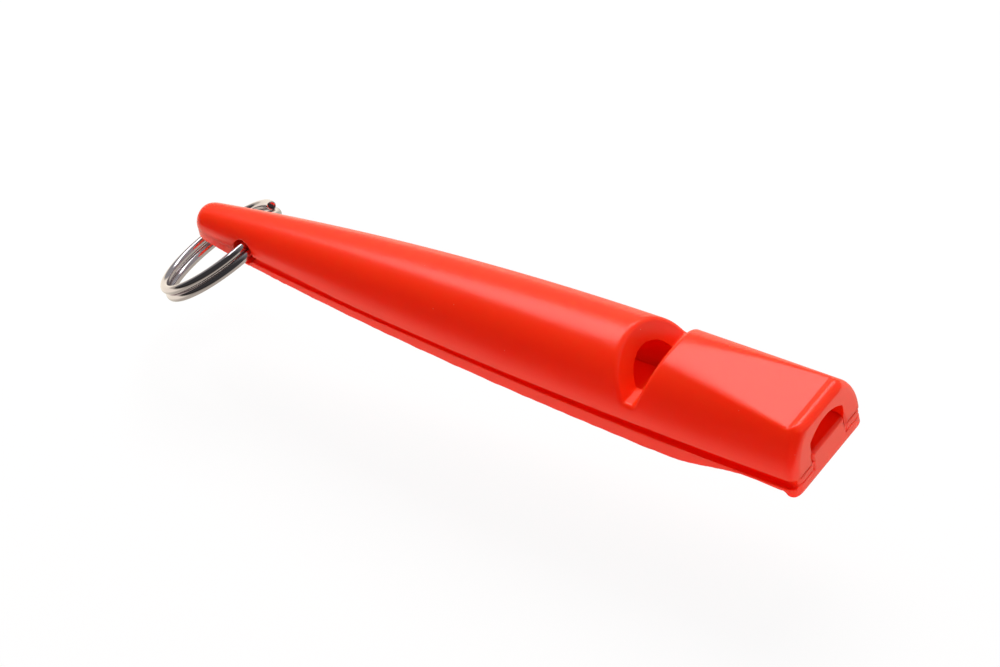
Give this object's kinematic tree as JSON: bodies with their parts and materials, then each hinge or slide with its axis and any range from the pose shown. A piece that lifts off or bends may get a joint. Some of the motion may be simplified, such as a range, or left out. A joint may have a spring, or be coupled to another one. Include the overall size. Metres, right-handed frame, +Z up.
{
  "type": "dog whistle",
  "caption": "Slim moulded dog whistle with a sounding window, windway and tone chamber, a welded base plate and a wire split ring through the tail.",
  "frame": {"origin": "on the flat underside, below the middle of the whistle's length", "axes": "+X towards the mouth, +Y to the far side, +Z up out of the window"},
  "size_m": [0.0869, 0.0157, 0.0175],
  "materials": {
    "plastic": "gloss moulded orange-red plastic",
    "ring_steel": "bright nickel-plated steel wire"
  },
  "bodies": {
    "whistle": {"body_shell": "plastic", "base_plate": "plastic"},
    "ring": {"split_ring": "ring_steel"}
  },
  "joints": [
    {"name": "ring_swing", "type": "hinge", "parent": "whistle", "child": "ring", "pos_m": [-0.03321, 0, 0.00174], "axis": [0, 1, 0], "range_deg": [-128, 186]}
  ]
}
